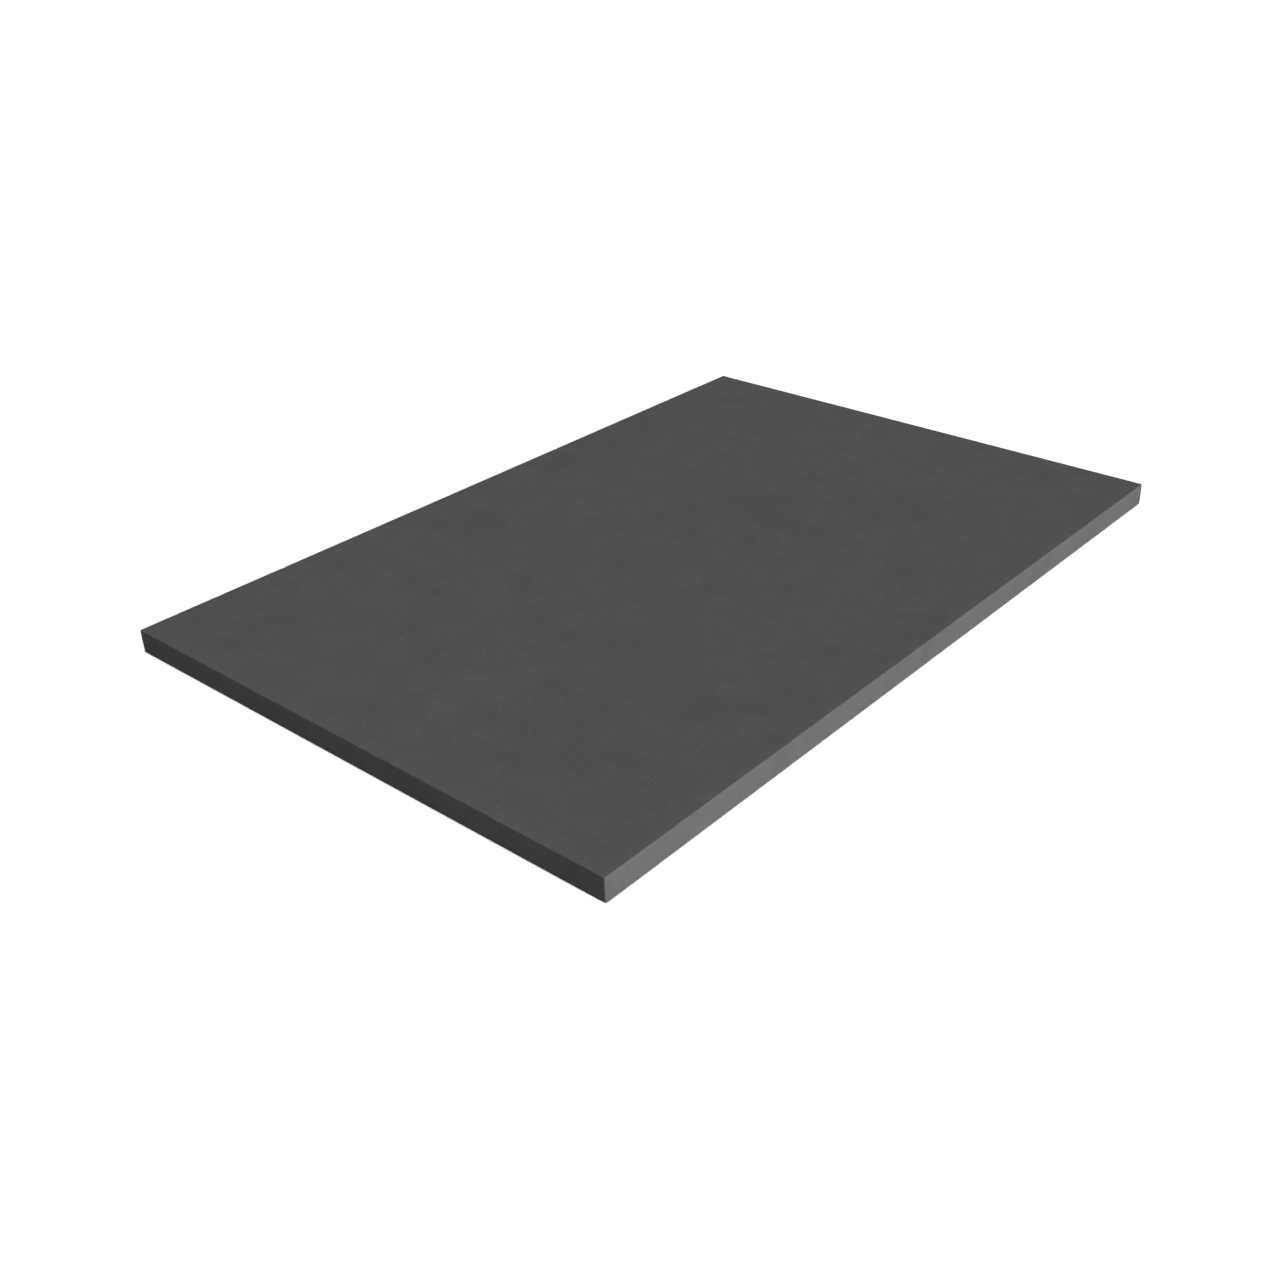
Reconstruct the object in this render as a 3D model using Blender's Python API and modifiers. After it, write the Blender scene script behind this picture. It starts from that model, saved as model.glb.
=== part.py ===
"""Granite slab for leather work, as one sawn and honed piece of dark stone.

Metres, +Z up. +X is the long side and +Y the short side. The origin is the centre of the underside,
so the slab stands on z = 0.
"""

import bpy

# Driving dimensions
LENGTH = 0.4572
WIDTH = 0.3048
THICKNESS = 0.012
# Width that each edge's easing takes off the two faces that it joins
ARRIS_EASE = 0.0005
CORNER_EASE = 0.0008

# Flats across one eased edge
ARRIS_FLATS = 3
CORNER_FLATS = 4

# An easing stays inside the stone: two of them never meet across a face
MOST_ARRIS = 0.4 * THICKNESS
MOST_CORNER = 0.4 * min(LENGTH, WIDTH)

STONE_COLOUR = (0.075, 0.075, 0.076, 1.0)
STONE_ROUGHNESS = 0.62
STONE_METALLIC = 0.0


def clear_scene():
    for thing in list(bpy.data.objects):
        bpy.data.objects.remove(thing, do_unlink=True)


def make_collection(name):
    """The collection that holds the object's parts."""
    collection = bpy.data.collections.new(name)
    bpy.context.scene.collection.children.link(collection)
    return collection


def make_honed_stone():
    material = bpy.data.materials.new("honed_dark_granite")
    material.use_nodes = True
    shader = material.node_tree.nodes["Principled BSDF"]
    shader.inputs["Base Color"].default_value = STONE_COLOUR
    shader.inputs["Roughness"].default_value = STONE_ROUGHNESS
    shader.inputs["Metallic"].default_value = STONE_METALLIC
    return material


def weigh_corner_edges(mesh):
    """Marks the four upright edges, so that the first Bevel takes those and no others."""
    weights = mesh.attributes.new("bevel_weight_edge", "FLOAT", "EDGE")
    for edge in mesh.edges:
        foot, head = (mesh.vertices[i].co for i in edge.vertices)
        upright = abs(head.z - foot.z) > THICKNESS / 2
        weights.data[edge.index].value = 1.0 if upright else 0.0


def add_bevel(slab, name, width, flats, limit):
    bevel = slab.modifiers.new(name, "BEVEL")
    bevel.width = width
    bevel.segments = flats
    bevel.limit_method = limit
    bevel.use_clamp_overlap = False
    return bevel


def make_granite_slab(collection):
    """The slab: a sawn block, its upright corners eased first and then the arrises round both faces."""
    bpy.ops.mesh.primitive_cube_add(size=1, location=(0, 0, THICKNESS / 2))
    slab = bpy.context.object
    slab.name = "granite_slab"
    slab.data.name = "granite_slab"
    slab.scale = (LENGTH, WIDTH, THICKNESS)
    bpy.ops.object.transform_apply(location=False, rotation=False, scale=True)

    weigh_corner_edges(slab.data)
    add_bevel(slab, "eased_corners", min(CORNER_EASE, MOST_CORNER), CORNER_FLATS, "WEIGHT")
    arrises = add_bevel(slab, "eased_arrises", min(ARRIS_EASE, MOST_ARRIS), ARRIS_FLATS, "ANGLE")
    # Steeper than the steps round an eased corner and less than a square edge
    arrises.angle_limit = 1.0

    slab.data.materials.append(make_honed_stone())
    for owner in list(slab.users_collection):
        owner.objects.unlink(slab)
    collection.objects.link(slab)
    return slab


clear_scene()
make_granite_slab(make_collection("granite_slab_for_leather_work"))
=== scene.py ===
import math
import random

import bpy
from mathutils import Euler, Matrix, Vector


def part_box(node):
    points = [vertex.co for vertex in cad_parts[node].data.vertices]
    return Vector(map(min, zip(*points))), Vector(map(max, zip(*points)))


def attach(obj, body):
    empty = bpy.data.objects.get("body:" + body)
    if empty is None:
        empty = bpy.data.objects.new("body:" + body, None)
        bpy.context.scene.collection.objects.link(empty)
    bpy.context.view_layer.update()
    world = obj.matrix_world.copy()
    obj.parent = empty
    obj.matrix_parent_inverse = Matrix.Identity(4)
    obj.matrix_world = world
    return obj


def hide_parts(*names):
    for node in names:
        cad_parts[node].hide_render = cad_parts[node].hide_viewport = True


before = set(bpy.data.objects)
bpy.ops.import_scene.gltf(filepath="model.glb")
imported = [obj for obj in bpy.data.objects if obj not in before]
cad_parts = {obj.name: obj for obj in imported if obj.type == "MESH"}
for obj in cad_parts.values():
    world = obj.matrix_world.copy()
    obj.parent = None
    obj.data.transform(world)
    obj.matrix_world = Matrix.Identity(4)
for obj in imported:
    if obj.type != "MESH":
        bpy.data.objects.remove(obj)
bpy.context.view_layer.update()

# The slab's own faces, taken from the frame. All lengths here are metres.
SLAB_LOW, SLAB_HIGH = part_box("granite_slab")
SLAB_SIZE = SLAB_HIGH - SLAB_LOW
SLAB_MIDDLE = (SLAB_LOW + SLAB_HIGH) / 2
WORK_FACE_Z = SLAB_HIGH.z
REST_FACE_Z = SLAB_LOW.z

# Mason's finish of the edges
CORNER_EASE = 0.0008
CORNER_FLATS = 4
ARRIS_EASE = 0.0005
ARRIS_FLATS = 4

# Cells that the faces are divided into, so that the stone's own unevenness has somewhere to go
CELL = 0.0026
EDGE_ROWS = 6

# Surface unevenness, cut inwards only: depth and spacing of the waves
HONING_DEPTH = 0.000018
HONING_WAVE = 0.034
SAWING_DEPTH = 0.00006
SAWING_WAVE = 0.006
ARRIS_WAVER_DEPTH = 0.00014
ARRIS_WAVER = 0.0045

# Chips along the edges: their mean spacing, width, length in widths and depth in widths
CHIP_SPACING = 0.0085
CHIP_WIDTH = (0.0005, 0.0016)
CHIP_STRETCH = (1.1, 2.8)
CHIP_BITE = (0.35, 0.6)
CHIP_TWIST = 0.5
# Chips stop this share of the way from an edge's middle to its ends
ARRIS_CHIPPED = 0.985
UPRIGHT_CHIPPED = 0.7
# Pits in the work face: how many, how wide, how long in widths and how deep
PIT_COUNT = 90
PIT_WIDTH = (0.0003, 0.0009)
PIT_STRETCH = (1.0, 1.6)
PIT_DEPTH = (0.00006, 0.00014)
PITTED = 0.49
# Chips on each upright corner
UPRIGHT_CHIPS = 2
# How far an eased edge lies inside the two faces that it joins, as a share of its easing
EASED_AWAY = 0.3
# How far a shard's faces are pushed in and pulled out, and its reach from its heart in its own lengths
SHARD_ROUGHNESS = (-0.26, 0.14)
SHARD_REACH = 0.6
CHIP_SEED = 41
PIT_SEED = 73

# The finish's flat sheet: for each side of the slab, its axis and direction, the axes that run across and
# up its patch, the patch's scale in sheets per metre and its lower left corner
FULL_SCALE = 1.93
SHEET_PATCHES = (
    (2, 1, 0, 1, FULL_SCALE, (0.004, 0.004)),
    (2, -1, 0, 1, 1.08, (0.004, 0.668)),
    (1, -1, 0, 2, FULL_SCALE, (0.004, 0.602)),
    (1, 1, 0, 2, FULL_SCALE, (0.004, 0.635)),
    (0, -1, 2, 1, FULL_SCALE, (0.900, 0.004)),
    (0, 1, 2, 1, FULL_SCALE, (0.935, 0.004)),
)
# The direction in which each axis's patch is read without being mirrored
OUTWARD_TURN = (-1, -1, 1)

# The stone: how much light it gives back, its gloss and how much bluer than grey it is
STONE_TONE = 0.0585
STONE_GLOSS = 0.35
STONE_BLUENESS = 1.006
# How much darker the honed top is than the ground sides, partly for its finish and partly as painted shade
# that sets how dark the top looks under the light, and how much paler the sawn underside is than the
# ground sides
TOP_FINISH_AND_SHADE_DARKENING = 0.118
SAWN_PALING = 0.16
# How much of its specks' strength a ground side loses
GROUND_VEILING = 0.5
# Fresh stone in a chip or pit, against a honed face, painted darker as the shade that falls in the hollow
HOLLOW_PAINTED_SHADE = 0.6

# Widths of the stone's markings, from its broad clouds down to its single crystals
BROAD_CLOUDS = 0.11
DARK_PATCHES = 0.042
MOTTLE = 0.016
COARSE_CRYSTALS = 0.0013
FINE_CRYSTALS = 0.00042
RELIEF_GRAIN = 0.0011
BROKEN_CRYSTALS = 0.0003

# Scattered specks: the width of the cells that they lie in, the share of cells that hold one, and their
# reach and raggedness in cell widths
DARK_SPOTS = (0.0075, 0.20, 0.20, 0.28)
DARK_GRAINS = (0.0030, 0.030, 0.26, 0.6)
PAINTED_GRAIN_GLINTS = (0.0030, 0.026, 0.26, 0.6)
PALE_GRAINS = (0.0025, 0.016, 0.26, 0.6)
PALE_DUST = (0.0010, 0.008, 0.34, 0.20)
# Where the painted highlight beside each dark grain lies from it: one fixed offset for every grain, as a
# low light lights a hollow's rim
GLINT_OFFSET = (0.0006, -0.0009, 0.0)
# The waves in a speck's border in cell widths, and the share of its reach that is fully dark or pale
SPECK_WAVE = 0.24
SPECK_CORE = 0.75

# One broad paler bloom near the middle of the -X end, longer along the slab than across it
BLOOM_PLACE = (-0.178, -0.024)
BLOOM_REACH = 0.034
BLOOM_HEART = 0.004
BLOOM_STRETCH = 1.5
# The waves in the bloom's border and how far they carry it
BLOOM_WANDER = 0.02
BLOOM_WANDERING = 0.03

# The edge wheel's marks, drawn out along the slab
WHEEL_STEP = 0.0009
WHEEL_STRETCH = (40, 40, 1)

# The disc saw that parted the slab from its block: the disc's middle and the pitch of its marks
SAW_HEART = (0.35, -0.95, 0.0)
SAW_STEP = 0.0022

# Relief that is too fine to be cut
HONED_RELIEF = 0.00004
BROKEN_RELIEF = 0.00005

# The smallest turn between two faces that reads as a hard edge, more than between two of an easing's flats
HARD_EDGE = math.radians(27)


# ---------------------------------------------------------------- shader sums


class NodeWork:
    """A tree of nodes, and the one way of adding to it."""

    def __init__(self, tree):
        self.nodes = tree.nodes
        self.links = tree.links

    def add(self, kind, settings=None, sockets=None, output=0):
        """A node of that kind: its settings first, then the values or wires of its sockets."""
        node = self.nodes.new(kind)
        for setting, value in (settings or {}).items():
            setattr(node, setting, value)
        for socket, value in (sockets or {}).items():
            self.feed(node.inputs[socket], value)
        return Wire(self, node.outputs[output])

    def feed(self, socket, value):
        if isinstance(value, Wire):
            self.links.new(value.socket, socket)
        else:
            socket.default_value = value


class Finish(NodeWork):
    """A material's nodes under one name."""

    def __init__(self, name):
        self.material = bpy.data.materials.new(name)
        self.material.use_nodes = True
        super().__init__(self.material.node_tree)
        self.shader = self.nodes["Principled BSDF"]


class Wire:
    """A node's output. Arithmetic on it adds the Math nodes."""

    def __init__(self, finish, socket):
        self.finish = finish
        self.socket = socket

    def sum(self, operation, first, second=0.0):
        return self.finish.add("ShaderNodeMath", {"operation": operation}, {0: first, 1: second})

    def __add__(self, other):
        return self.sum("ADD", self, other)

    def __radd__(self, other):
        return self.sum("ADD", other, self)

    def __sub__(self, other):
        return self.sum("SUBTRACT", self, other)

    def __rsub__(self, other):
        return self.sum("SUBTRACT", other, self)

    def __mul__(self, other):
        return self.sum("MULTIPLY", self, other)

    def __rmul__(self, other):
        return self.sum("MULTIPLY", other, self)

    def also(self, output):
        """Another output of the same node."""
        return Wire(self.finish, self.socket.node.outputs[output])

    def ramp(self, low, high):
        """0 below low, 1 above high and an easy curve between."""
        return self.finish.add(
            "ShaderNodeMapRange",
            {"interpolation_type": "SMOOTHSTEP"},
            {"Value": self, "From Min": low, "From Max": high},
        )


# ---------------------------------------------------------------- stone


def cloud(finish, place, wave, octaves, evenness, warp=0.0):
    """Even-handed noise about 0, from wave downwards through that many halvings."""
    noise = finish.add(
        "ShaderNodeTexNoise",
        {"noise_dimensions": "3D"},
        {"Vector": place, "Scale": 1 / wave, "Detail": octaves, "Roughness": evenness, "Distortion": warp},
    )
    return noise - 0.5


def crystals(finish, place, width):
    """A number from -0.5 to 0.5 for each crystal of about that width, and the distance from its heart."""
    cells = finish.add(
        "ShaderNodeTexVoronoi",
        {"feature": "F1"},
        {"Vector": place, "Scale": 1 / width, "Randomness": 1.0},
        output="Color",
    )
    number = finish.add("ShaderNodeSeparateColor", sockets={"Color": cells}, output="Red")
    return number - 0.5, cells.also("Distance")


def flecks(finish, place, spacing, share, reach, raggedness):
    """1 inside scattered ragged specks, in that share of the cells, and 0 elsewhere."""
    number, heart = crystals(finish, place, spacing)
    border = cloud(finish, place, spacing * SPECK_WAVE, octaves=2, evenness=0.6)
    ragged_heart = heart + border * raggedness
    chosen = number.ramp(0.5 - share, 0.501 - share)
    return chosen * (1 - ragged_heart.ramp(reach * SPECK_CORE, reach))


def moved(finish, place, step):
    """The place, with the pattern carried along by that step."""
    return finish.add("ShaderNodeVectorMath", {"operation": "SUBTRACT"}, {0: place, 1: step})


def stretched(finish, place, stretch):
    """The place, with the pattern drawn out along each axis by that many times."""
    squeeze = [1 / times for times in stretch]
    return finish.add("ShaderNodeMapping", {"vector_type": "POINT"}, {"Vector": place, "Scale": squeeze})


def grey(finish, tone):
    """Stone-grey colour of that tone."""
    blue = tone * STONE_BLUENESS
    return finish.add("ShaderNodeCombineColor", sockets={"Red": tone, "Green": tone, "Blue": blue})


def pale_bloom(finish, place):
    """1 at the heart of the pale bloom, falling to 0 at its wandering border."""
    bloom_x, bloom_y = BLOOM_PLACE
    from_heart = finish.add(
        "ShaderNodeVectorMath",
        {"operation": "DISTANCE"},
        {
            0: stretched(finish, place, (BLOOM_STRETCH, 1, 1)),
            1: (bloom_x / BLOOM_STRETCH, bloom_y, WORK_FACE_Z),
        },
        output="Value",
    )
    border = from_heart + cloud(finish, place, BLOOM_WANDER, octaves=3, evenness=0.6) * BLOOM_WANDERING
    return 1 - border.ramp(BLOOM_HEART, BLOOM_REACH)


def saw_marks(finish, place):
    """Arcs round the saw's middle, about 0."""
    from_saw = finish.add(
        "ShaderNodeVectorMath", {"operation": "DISTANCE"}, {0: place, 1: SAW_HEART}, output="Value"
    )
    marks = finish.add(
        "ShaderNodeTexNoise",
        {"noise_dimensions": "1D"},
        {"W": from_saw, "Scale": 1 / SAW_STEP, "Detail": 2.0, "Roughness": 0.6},
    )
    return marks - 0.5


def raise_relief(finish, height, strength, depth):
    """Fine relief over the whole finish."""
    bump = finish.add(
        "ShaderNodeBump",
        sockets={"Strength": strength, "Distance": depth, "Height": height},
        output="Normal",
    )
    finish.feed(finish.shader.inputs["Normal"], bump)


def honed_granite():
    """Dark fine-grained granite: honed on top, ground along its edges and sawn underneath."""
    finish = Finish("honed_dark_granite")
    place = finish.add("ShaderNodeTexCoord", output="Object")
    height = finish.add("ShaderNodeSeparateXYZ", sockets={"Vector": place}, output="Z")

    # Which face this is, by height: the arrises belong to the ground edge
    on_top = height.ramp(WORK_FACE_Z - ARRIS_EASE, WORK_FACE_Z - ARRIS_EASE / 5)
    underneath = 1 - height.ramp(REST_FACE_Z + ARRIS_EASE / 5, REST_FACE_Z + ARRIS_EASE)
    on_edge = 1 - on_top - underneath

    # The stone itself: broad clouds, dark patches with broken borders, a mottle and single crystals, with
    # a painted highlight beside each dark grain
    broad = cloud(finish, place, BROAD_CLOUDS, octaves=2, evenness=0.5, warp=0.4)
    patches = cloud(finish, place, DARK_PATCHES, octaves=6, evenness=0.72, warp=0.3).ramp(0.01, 0.16)
    mottle = cloud(finish, place, MOTTLE, octaves=5, evenness=0.72)
    coarse = crystals(finish, place, COARSE_CRYSTALS)[0]
    fine, fine_heart = crystals(finish, place, FINE_CRYSTALS)
    dark_spots = flecks(finish, place, *DARK_SPOTS)
    dark_grains = flecks(finish, place, *DARK_GRAINS)
    # Painted highlight: a pale spot at the same offset beside every dark grain, standing in for a lit rim
    painted_grain_glints = flecks(finish, moved(finish, place, GLINT_OFFSET), *PAINTED_GRAIN_GLINTS)
    pale_grains = flecks(finish, place, *PALE_GRAINS)
    pale_dust = flecks(finish, place, *PALE_DUST)
    bloom = pale_bloom(finish, place) * on_top

    # How much each marking lightens or darkens the stone
    tone = 1.025 + broad * 0.12 + mottle * 0.34 - patches * 0.09 + bloom * 0.085
    tone = tone + coarse * 0.034 + fine * 0.04
    # The pale spots beside the dark grains are painted highlight
    specks = painted_grain_glints * 0.24 + pale_grains * 0.28 + pale_dust * 0.28
    specks = specks - dark_spots * 0.07 - dark_grains * 0.17
    # A ground side shows its grains less strongly than a honed face
    tone = tone + specks * (1 - on_edge * GROUND_VEILING)
    # The top is painted darker, partly for its honed finish and partly as painted shade; the underside is
    # paler for its sawn finish
    face_tone_and_top_shade = 1 - on_top * TOP_FINISH_AND_SHADE_DARKENING + underneath * SAWN_PALING
    finish.feed(finish.shader.inputs["Base Color"], grey(finish, tone * face_tone_and_top_shade * STONE_TONE))

    # Marks of the edge wheel, drawn out along the slab, and of the saw underneath
    wheel = cloud(finish, stretched(finish, place, WHEEL_STRETCH), WHEEL_STEP, octaves=3, evenness=0.6)
    saw = saw_marks(finish, place)

    # Sheen: dark crystals are honed smoother than pale ones, and a ground or sawn face is rougher
    rough = 0.62 + mottle * 0.12 + fine * 0.10 + coarse * 0.08 + patches * 0.03
    rough = rough - dark_grains * 0.12 + on_edge * (0.05 + wheel * 0.18)
    rough = rough + underneath * (0.14 + saw * 0.2)
    finish.feed(finish.shader.inputs["Roughness"], rough)

    # Relief, in grains of a few hundredths of a millimetre
    grain = cloud(finish, place, RELIEF_GRAIN, octaves=3, evenness=0.7)
    relief = grain * 0.4 + fine * 0.15 - fine_heart * 0.1 - dark_grains * 0.5
    relief = relief + on_edge * wheel * 0.9 + underneath * (saw * 2.4 + grain)
    raise_relief(finish, relief, strength=0.4, depth=HONED_RELIEF)
    finish.shader.inputs["Specular IOR Level"].default_value = STONE_GLOSS
    return finish.material


def shaded_chip_granite():
    """The fresh stone inside a chip or pit, painted darker than a honed face as the shade that falls in
    the hollow.
    """
    finish = Finish("chipped_granite_painted_dark")
    place = finish.add("ShaderNodeTexCoord", output="Object")
    crystal, heart = crystals(finish, place, BROKEN_CRYSTALS)
    # Painted shade: the stone in a chip or pit is darkened as the hollow's shade
    tone = (1 + crystal * 0.5) * STONE_TONE * HOLLOW_PAINTED_SHADE
    finish.feed(finish.shader.inputs["Base Color"], grey(finish, tone))
    finish.feed(finish.shader.inputs["Roughness"], 0.72 + crystal * 0.2)
    raise_relief(finish, heart, strength=0.6, depth=BROKEN_RELIEF)
    finish.shader.inputs["Specular IOR Level"].default_value = STONE_GLOSS
    return finish.material


# ---------------------------------------------------------------- shaping


def leave_all():
    """Nothing selected and nothing in edit mode."""
    if bpy.context.object and bpy.context.object.mode != "OBJECT":
        bpy.ops.object.mode_set(mode="OBJECT")
    bpy.ops.object.select_all(action="DESELECT")


def pick_edges(piece, wanted):
    """In edit mode, selects the edges whose two ends the test accepts."""
    bpy.ops.mesh.select_mode(type="EDGE")
    bpy.ops.mesh.select_all(action="DESELECT")
    bpy.ops.object.mode_set(mode="OBJECT")
    points = piece.data.vertices
    for edge in piece.data.edges:
        first, last = (points[i].co for i in edge.vertices)
        edge.select = wanted(first, last)
    bpy.ops.object.mode_set(mode="EDIT")


def divide(piece, axis, cuts):
    """Cuts the block across one axis into even rows."""

    def along_axis(first, last):
        way = last - first
        return abs(way[axis]) > 0.99 * way.length

    pick_edges(piece, along_axis)
    bpy.ops.mesh.subdivide(number_cuts=cuts)


def ease_corners(piece):
    """Rounds the four upright corners."""
    most_x = SLAB_SIZE.x / 2 - CELL / 10
    most_y = SLAB_SIZE.y / 2 - CELL / 10

    def at_corner(first, last):
        return all(
            abs(point.x - SLAB_MIDDLE.x) > most_x and abs(point.y - SLAB_MIDDLE.y) > most_y
            for point in (first, last)
        )

    pick_edges(piece, at_corner)
    bpy.ops.mesh.bevel(offset=CORNER_EASE, segments=CORNER_FLATS, profile=0.5, clamp_overlap=False)


def ease_arrises(piece):
    """Rounds the edge all round the work face and all round the rest face."""
    bpy.ops.mesh.select_mode(type="EDGE")
    bpy.ops.mesh.select_all(action="DESELECT")
    bpy.ops.object.mode_set(mode="OBJECT")
    mesh = piece.data
    face_levels = {}
    for face in mesh.polygons:
        level = face.normal.z > 0.5 or face.normal.z < -0.5
        for key in face.edge_keys:
            face_levels.setdefault(key, []).append(level)
    for edge in mesh.edges:
        levels = face_levels[edge.key]
        edge.select = any(levels) and not all(levels)
    bpy.ops.object.mode_set(mode="EDIT")
    bpy.ops.mesh.bevel(offset=ARRIS_EASE, segments=ARRIS_FLATS, profile=0.5, clamp_overlap=False)


def sawn_block():
    """The slab as it leaves the saw and the edge wheel: true faces, eased corners and arrises."""
    leave_all()
    bpy.ops.mesh.primitive_cube_add(size=1, location=SLAB_MIDDLE)
    block = bpy.context.object
    block.name = "granite_slab_honed"
    block.data.name = "granite_slab_honed"
    block.scale = SLAB_SIZE
    bpy.ops.object.transform_apply(location=True, rotation=True, scale=True)
    bpy.ops.object.mode_set(mode="EDIT")
    divide(block, 0, round(SLAB_SIZE.x / CELL) - 1)
    divide(block, 1, round(SLAB_SIZE.y / CELL) - 1)
    divide(block, 2, EDGE_ROWS - 1)
    ease_corners(block)
    ease_arrises(block)
    bpy.ops.object.mode_set(mode="OBJECT")
    return block


def shard(name, place, size, turn, rng):
    """A rough squashed pebble, the shape of the stone that a chip or a pit has lost."""
    bpy.ops.mesh.primitive_ico_sphere_add(subdivisions=2, radius=0.5, location=place, rotation=turn)
    pebble = bpy.context.object
    pebble.name = name
    pebble.scale = size
    bpy.ops.object.transform_apply(location=True, rotation=True, scale=True)
    heart = Vector(place)
    for point in pebble.data.vertices:
        point.co += (point.co - heart) * rng.uniform(*SHARD_ROUGHNESS)
    return pebble


def stands_clear(place, reach, others):
    """Whether a shard of that reach would touch none of the others, each given by its place and reach."""
    return all((place - other).length > reach + other_reach for other, other_reach in others)


def join_shards(shards, name, material):
    """One cutter of many shards."""
    bpy.ops.object.select_all(action="DESELECT")
    for pebble in shards:
        pebble.select_set(True)
    bpy.context.view_layer.objects.active = shards[0]
    bpy.ops.object.join()
    cutter = bpy.context.object
    cutter.name = name
    cutter.data.materials.append(material)
    return cutter


def knocked_edges():
    """Every edge that chips: its two ends, the way it faces, how its chips lie and how many it has."""
    half = SLAB_SIZE / 2
    edges = []
    for level, upward in ((WORK_FACE_Z, 1), (REST_FACE_Z, -1)):
        for along, side in ((0, -1), (0, 1), (1, -1), (1, 1)):
            outwards = Vector((0, 0, upward))
            outwards[1 - along] = side
            heart = Vector((0, 0, level - upward * ARRIS_EASE * EASED_AWAY))
            heart[1 - along] = side * (half[1 - along] - ARRIS_EASE * EASED_AWAY)
            run = Vector((0, 0, 0))
            run[along] = ARRIS_CHIPPED * half[along]
            count = round(SLAB_SIZE[along] / CHIP_SPACING)
            edges.append((heart - run, heart + run, outwards, 0.0, count))
    run = Vector((0, 0, UPRIGHT_CHIPPED * half.z))
    for side_x, side_y in ((-1, -1), (-1, 1), (1, -1), (1, 1)):
        outwards = Vector((side_x, side_y, 0))
        heart = outwards * -CORNER_EASE * EASED_AWAY
        heart += Vector((side_x * half.x, side_y * half.y, SLAB_MIDDLE.z))
        edges.append((heart - run, heart + run, outwards, math.pi / 2, UPRIGHT_CHIPS))
    return edges


def edge_chips(material):
    """Small shallow chips along every edge, where the slab has knocked against things."""
    rng = random.Random(CHIP_SEED)
    chips = []
    taken = []
    for first, last, outwards, lie, count in knocked_edges():
        for _ in range(count):
            place = first.lerp(last, rng.random())
            width = CHIP_WIDTH[0] + (CHIP_WIDTH[1] - CHIP_WIDTH[0]) * rng.random() ** 3
            size = (width * rng.uniform(*CHIP_STRETCH), width, width * rng.uniform(*CHIP_BITE))
            twist = Euler((0, 0, lie + rng.uniform(-CHIP_TWIST, CHIP_TWIST))).to_quaternion()
            turn = outwards.to_track_quat("Z", "Y") @ twist
            reach = size[0] * SHARD_REACH
            if stands_clear(place, reach, taken):
                taken.append((place, reach))
                chips.append(shard("edge_chip", place, size, turn.to_euler(), rng))
    return join_shards(chips, "edge_chips", material)


def face_pits(material):
    """Pinholes in the work face, where the honing has plucked out a crystal."""
    rng = random.Random(PIT_SEED)
    pits = []
    taken = []
    for _ in range(PIT_COUNT):
        across = rng.uniform(-PITTED, PITTED) * SLAB_SIZE.x
        along = rng.uniform(-PITTED, PITTED) * SLAB_SIZE.y
        place = Vector((across, along, WORK_FACE_Z))
        width = PIT_WIDTH[0] + (PIT_WIDTH[1] - PIT_WIDTH[0]) * rng.random() ** 2
        size = (width * rng.uniform(*PIT_STRETCH), width, 2 * rng.uniform(*PIT_DEPTH))
        turn = Euler((0, 0, rng.uniform(0, math.pi)))
        reach = size[0] * SHARD_REACH
        if stands_clear(place, reach, taken):
            taken.append((place, reach))
            pits.append(shard("face_pit", place, size, turn, rng))
    return join_shards(pits, "face_pits", material)


def apply_modifier(piece, modifier):
    bpy.ops.object.select_all(action="DESELECT")
    piece.select_set(True)
    bpy.context.view_layer.objects.active = piece
    bpy.ops.object.modifier_apply(modifier=modifier.name)


def carve(piece, cutter):
    """Takes the cutter's shards out of the piece, and leaves their stone, painted dark as shade, in the
    hollows.
    """
    cut = piece.modifiers.new("carve", "BOOLEAN")
    cut.operation = "DIFFERENCE"
    cut.solver = "MANIFOLD"
    cut.material_mode = "TRANSFER"
    cut.object = cutter
    apply_modifier(piece, cut)
    bpy.data.objects.remove(cutter, do_unlink=True)


def wear_down(piece, name, wave, depth, wanted):
    """Lowers the chosen points by up to that depth, in waves of that length, never outwards."""
    group = piece.vertex_groups.new(name=name)
    group.add([point.index for point in piece.data.vertices if wanted(point.co)], 1.0, "ADD")
    waves = bpy.data.textures.new(name, "CLOUDS")
    waves.noise_scale = wave
    waves.noise_depth = 2
    press = piece.modifiers.new(name, "DISPLACE")
    press.texture = waves
    press.texture_coords = "LOCAL"
    press.vertex_group = group.name
    press.strength = depth
    press.mid_level = 1.0
    apply_modifier(piece, press)


def on_arris(point):
    from_top = WORK_FACE_Z - point.z
    from_bottom = point.z - REST_FACE_Z
    inside_x = SLAB_SIZE.x / 2 - abs(point.x - SLAB_MIDDLE.x)
    inside_y = SLAB_SIZE.y / 2 - abs(point.y - SLAB_MIDDLE.y)
    reach = ARRIS_EASE * 1.02
    return min(from_top, from_bottom) < reach and min(inside_x, inside_y) < reach


def on_upright(point):
    inside_x = SLAB_SIZE.x / 2 - abs(point.x - SLAB_MIDDLE.x)
    inside_y = SLAB_SIZE.y / 2 - abs(point.y - SLAB_MIDDLE.y)
    return max(inside_x, inside_y) < CORNER_EASE * 1.02


def on_work_face(point):
    return point.z > WORK_FACE_Z - ARRIS_EASE / 20


def on_rest_face(point):
    return point.z < REST_FACE_Z + ARRIS_EASE / 20


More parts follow.
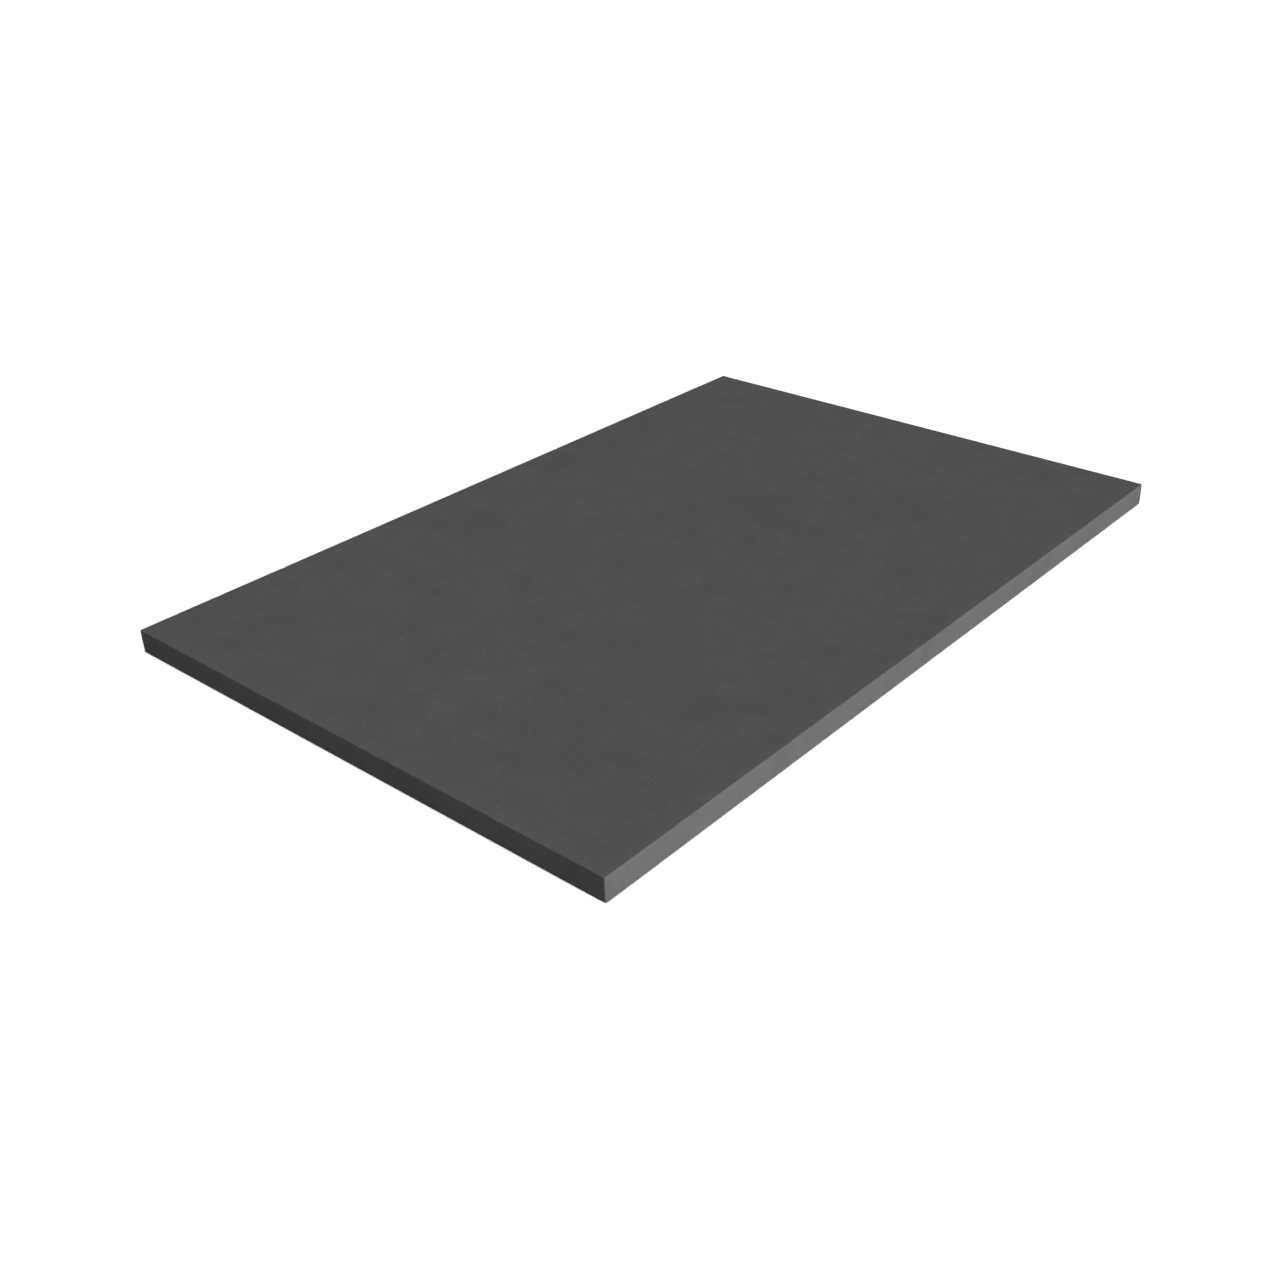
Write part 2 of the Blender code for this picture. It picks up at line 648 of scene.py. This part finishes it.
def lay_flat(piece):
    """A flat sheet for the stone's finish: each face of the slab has its own patch, whole and unturned."""
    mesh = piece.data
    sheet = mesh.uv_layers.new(name="OFBake")
    for face in mesh.polygons:
        best = max(SHEET_PATCHES, key=lambda patch: patch_claim(face, patch))
        axis, side, across, up, scale, corner = best
        for loop in face.loop_indices:
            point = mesh.vertices[mesh.loops[loop].vertex_index].co
            if side == OUTWARD_TURN[axis]:
                run = point[across] - SLAB_LOW[across]
            else:
                run = SLAB_HIGH[across] - point[across]
            rise = point[up] - SLAB_LOW[up]
            sheet.uv[loop].vector = (corner[0] + scale * run, corner[1] + scale * rise)


def patch_claim(face, patch):
    """How well a face suits a patch: it lies within an easing of that side and faces it most squarely."""
    axis, side = patch[:2]
    plane = SLAB_HIGH[axis] if side > 0 else SLAB_LOW[axis]
    near = abs(plane - face.center[axis]) < 2 * ARRIS_EASE
    return (1.0 if near else -1.0) + side * face.normal[axis] / 2


def make_slab():
    """The finished slab, in place of the plain one."""
    slab = sawn_block()
    slab.data.materials.append(honed_granite())
    # The stone in the chips and pits is painted darker as the shade in those hollows
    chip_stone_painted_dark = shaded_chip_granite()
    wear_down(slab, "wavering_arris", ARRIS_WAVER, ARRIS_WAVER_DEPTH, on_arris)
    wear_down(slab, "wavering_upright", ARRIS_WAVER, ARRIS_WAVER_DEPTH, on_upright)
    wear_down(slab, "honing_waves", HONING_WAVE, HONING_DEPTH, on_work_face)
    wear_down(slab, "saw_waves", SAWING_WAVE, SAWING_DEPTH, on_rest_face)
    carve(slab, edge_chips(chip_stone_painted_dark))
    carve(slab, face_pits(chip_stone_painted_dark))
    leave_all()
    slab.select_set(True)
    bpy.context.view_layer.objects.active = slab
    bpy.ops.object.shade_smooth_by_angle(angle=HARD_EDGE)
    weigh = slab.modifiers.new("true_faces", "WEIGHTED_NORMAL")
    weigh.keep_sharp = True
    apply_modifier(slab, weigh)
    slab.vertex_groups.clear()
    lay_flat(slab)
    return slab


# ---------------------------------------------------------------- studio

FLOOR_REACH = 40.0
FLOOR_WHITE = 0.95

# The key lies so low that what it casts on the floor is lost in the overhead light
KEY_STRENGTH = 5.75
KEY_HEIGHT = math.radians(3.5)
KEY_TURN = math.radians(3)
KEY_SOFTNESS = math.radians(5)
OVERHEAD_STRENGTH = 3.09
OVERHEAD_SOFTNESS = math.radians(8)
ROOM_GLOW = 0.09
BACKDROP_WHITE = 1.05
WHITE = (1, 1, 1, 1)

CAMERA_PLACE = Vector((-0.5419, -0.4553, 0.3583))
CAMERA_TURN = Euler((math.radians(60.5139), math.radians(1.1320), math.radians(-49.8259)))
CAMERA_LENS = 41.886
CAMERA_SHIFT = -0.02


def studio_floor():
    leave_all()
    bpy.ops.mesh.primitive_plane_add(size=FLOOR_REACH, location=(0, 0, REST_FACE_Z))
    floor = bpy.context.object
    floor.name = "studio_floor"
    paint = Finish("matt_white_floor")
    paint.shader.inputs["Base Color"].default_value = (FLOOR_WHITE, FLOOR_WHITE, FLOOR_WHITE, 1)
    paint.shader.inputs["Roughness"].default_value = 1.0
    paint.shader.inputs["Specular IOR Level"].default_value = 0.0
    floor.data.materials.append(paint.material)
    # Matt paint gives the stone its light but no mirror image
    floor.visible_glossy = False
    return floor


def sun(name, strength, softness, height, turn):
    """A far soft light, height up from the floor and turned from -Y towards +X."""
    lamp = bpy.data.lights.new(name, "SUN")
    lamp.energy = strength
    lamp.angle = softness
    light = bpy.data.objects.new(name, lamp)
    light.rotation_euler = Euler((math.pi / 2 - height, 0, turn))
    bpy.context.scene.collection.objects.link(light)
    return light


def room_light():
    """White behind everything, and only a faint glow on the things themselves."""
    world = bpy.data.worlds.new("white_studio")
    bpy.context.scene.world = world
    world.use_nodes = True
    room = NodeWork(world.node_tree)
    room.nodes.remove(room.nodes["Background"])
    backdrop = room.add("ShaderNodeBackground", sockets={"Color": WHITE, "Strength": BACKDROP_WHITE})
    glow = room.add("ShaderNodeBackground", sockets={"Color": WHITE, "Strength": ROOM_GLOW})
    seen_straight = room.add("ShaderNodeLightPath", output="Is Camera Ray")
    either = room.add("ShaderNodeMixShader", sockets={0: seen_straight, 1: glow, 2: backdrop})
    room.feed(room.nodes["World Output"].inputs["Surface"], either)


def studio_camera():
    camera = bpy.data.objects.new("studio_camera", bpy.data.cameras.new("studio_camera"))
    camera.location = CAMERA_PLACE
    camera.rotation_euler = CAMERA_TURN
    camera.data.lens = CAMERA_LENS
    camera.data.shift_x = CAMERA_SHIFT
    camera.data.clip_start = 0.01
    camera.data.clip_end = 100.0
    bpy.context.scene.collection.objects.link(camera)
    bpy.context.scene.camera = camera


studio_camera()
slab = make_slab()
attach(slab, "root")
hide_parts("granite_slab")

studio_floor()
sun("key_softbox", KEY_STRENGTH, KEY_SOFTNESS, KEY_HEIGHT, KEY_TURN)
sun("overhead_softbox", OVERHEAD_STRENGTH, OVERHEAD_SOFTNESS, math.pi / 2, 0)
room_light()
bpy.context.scene.view_settings.view_transform = "Standard"
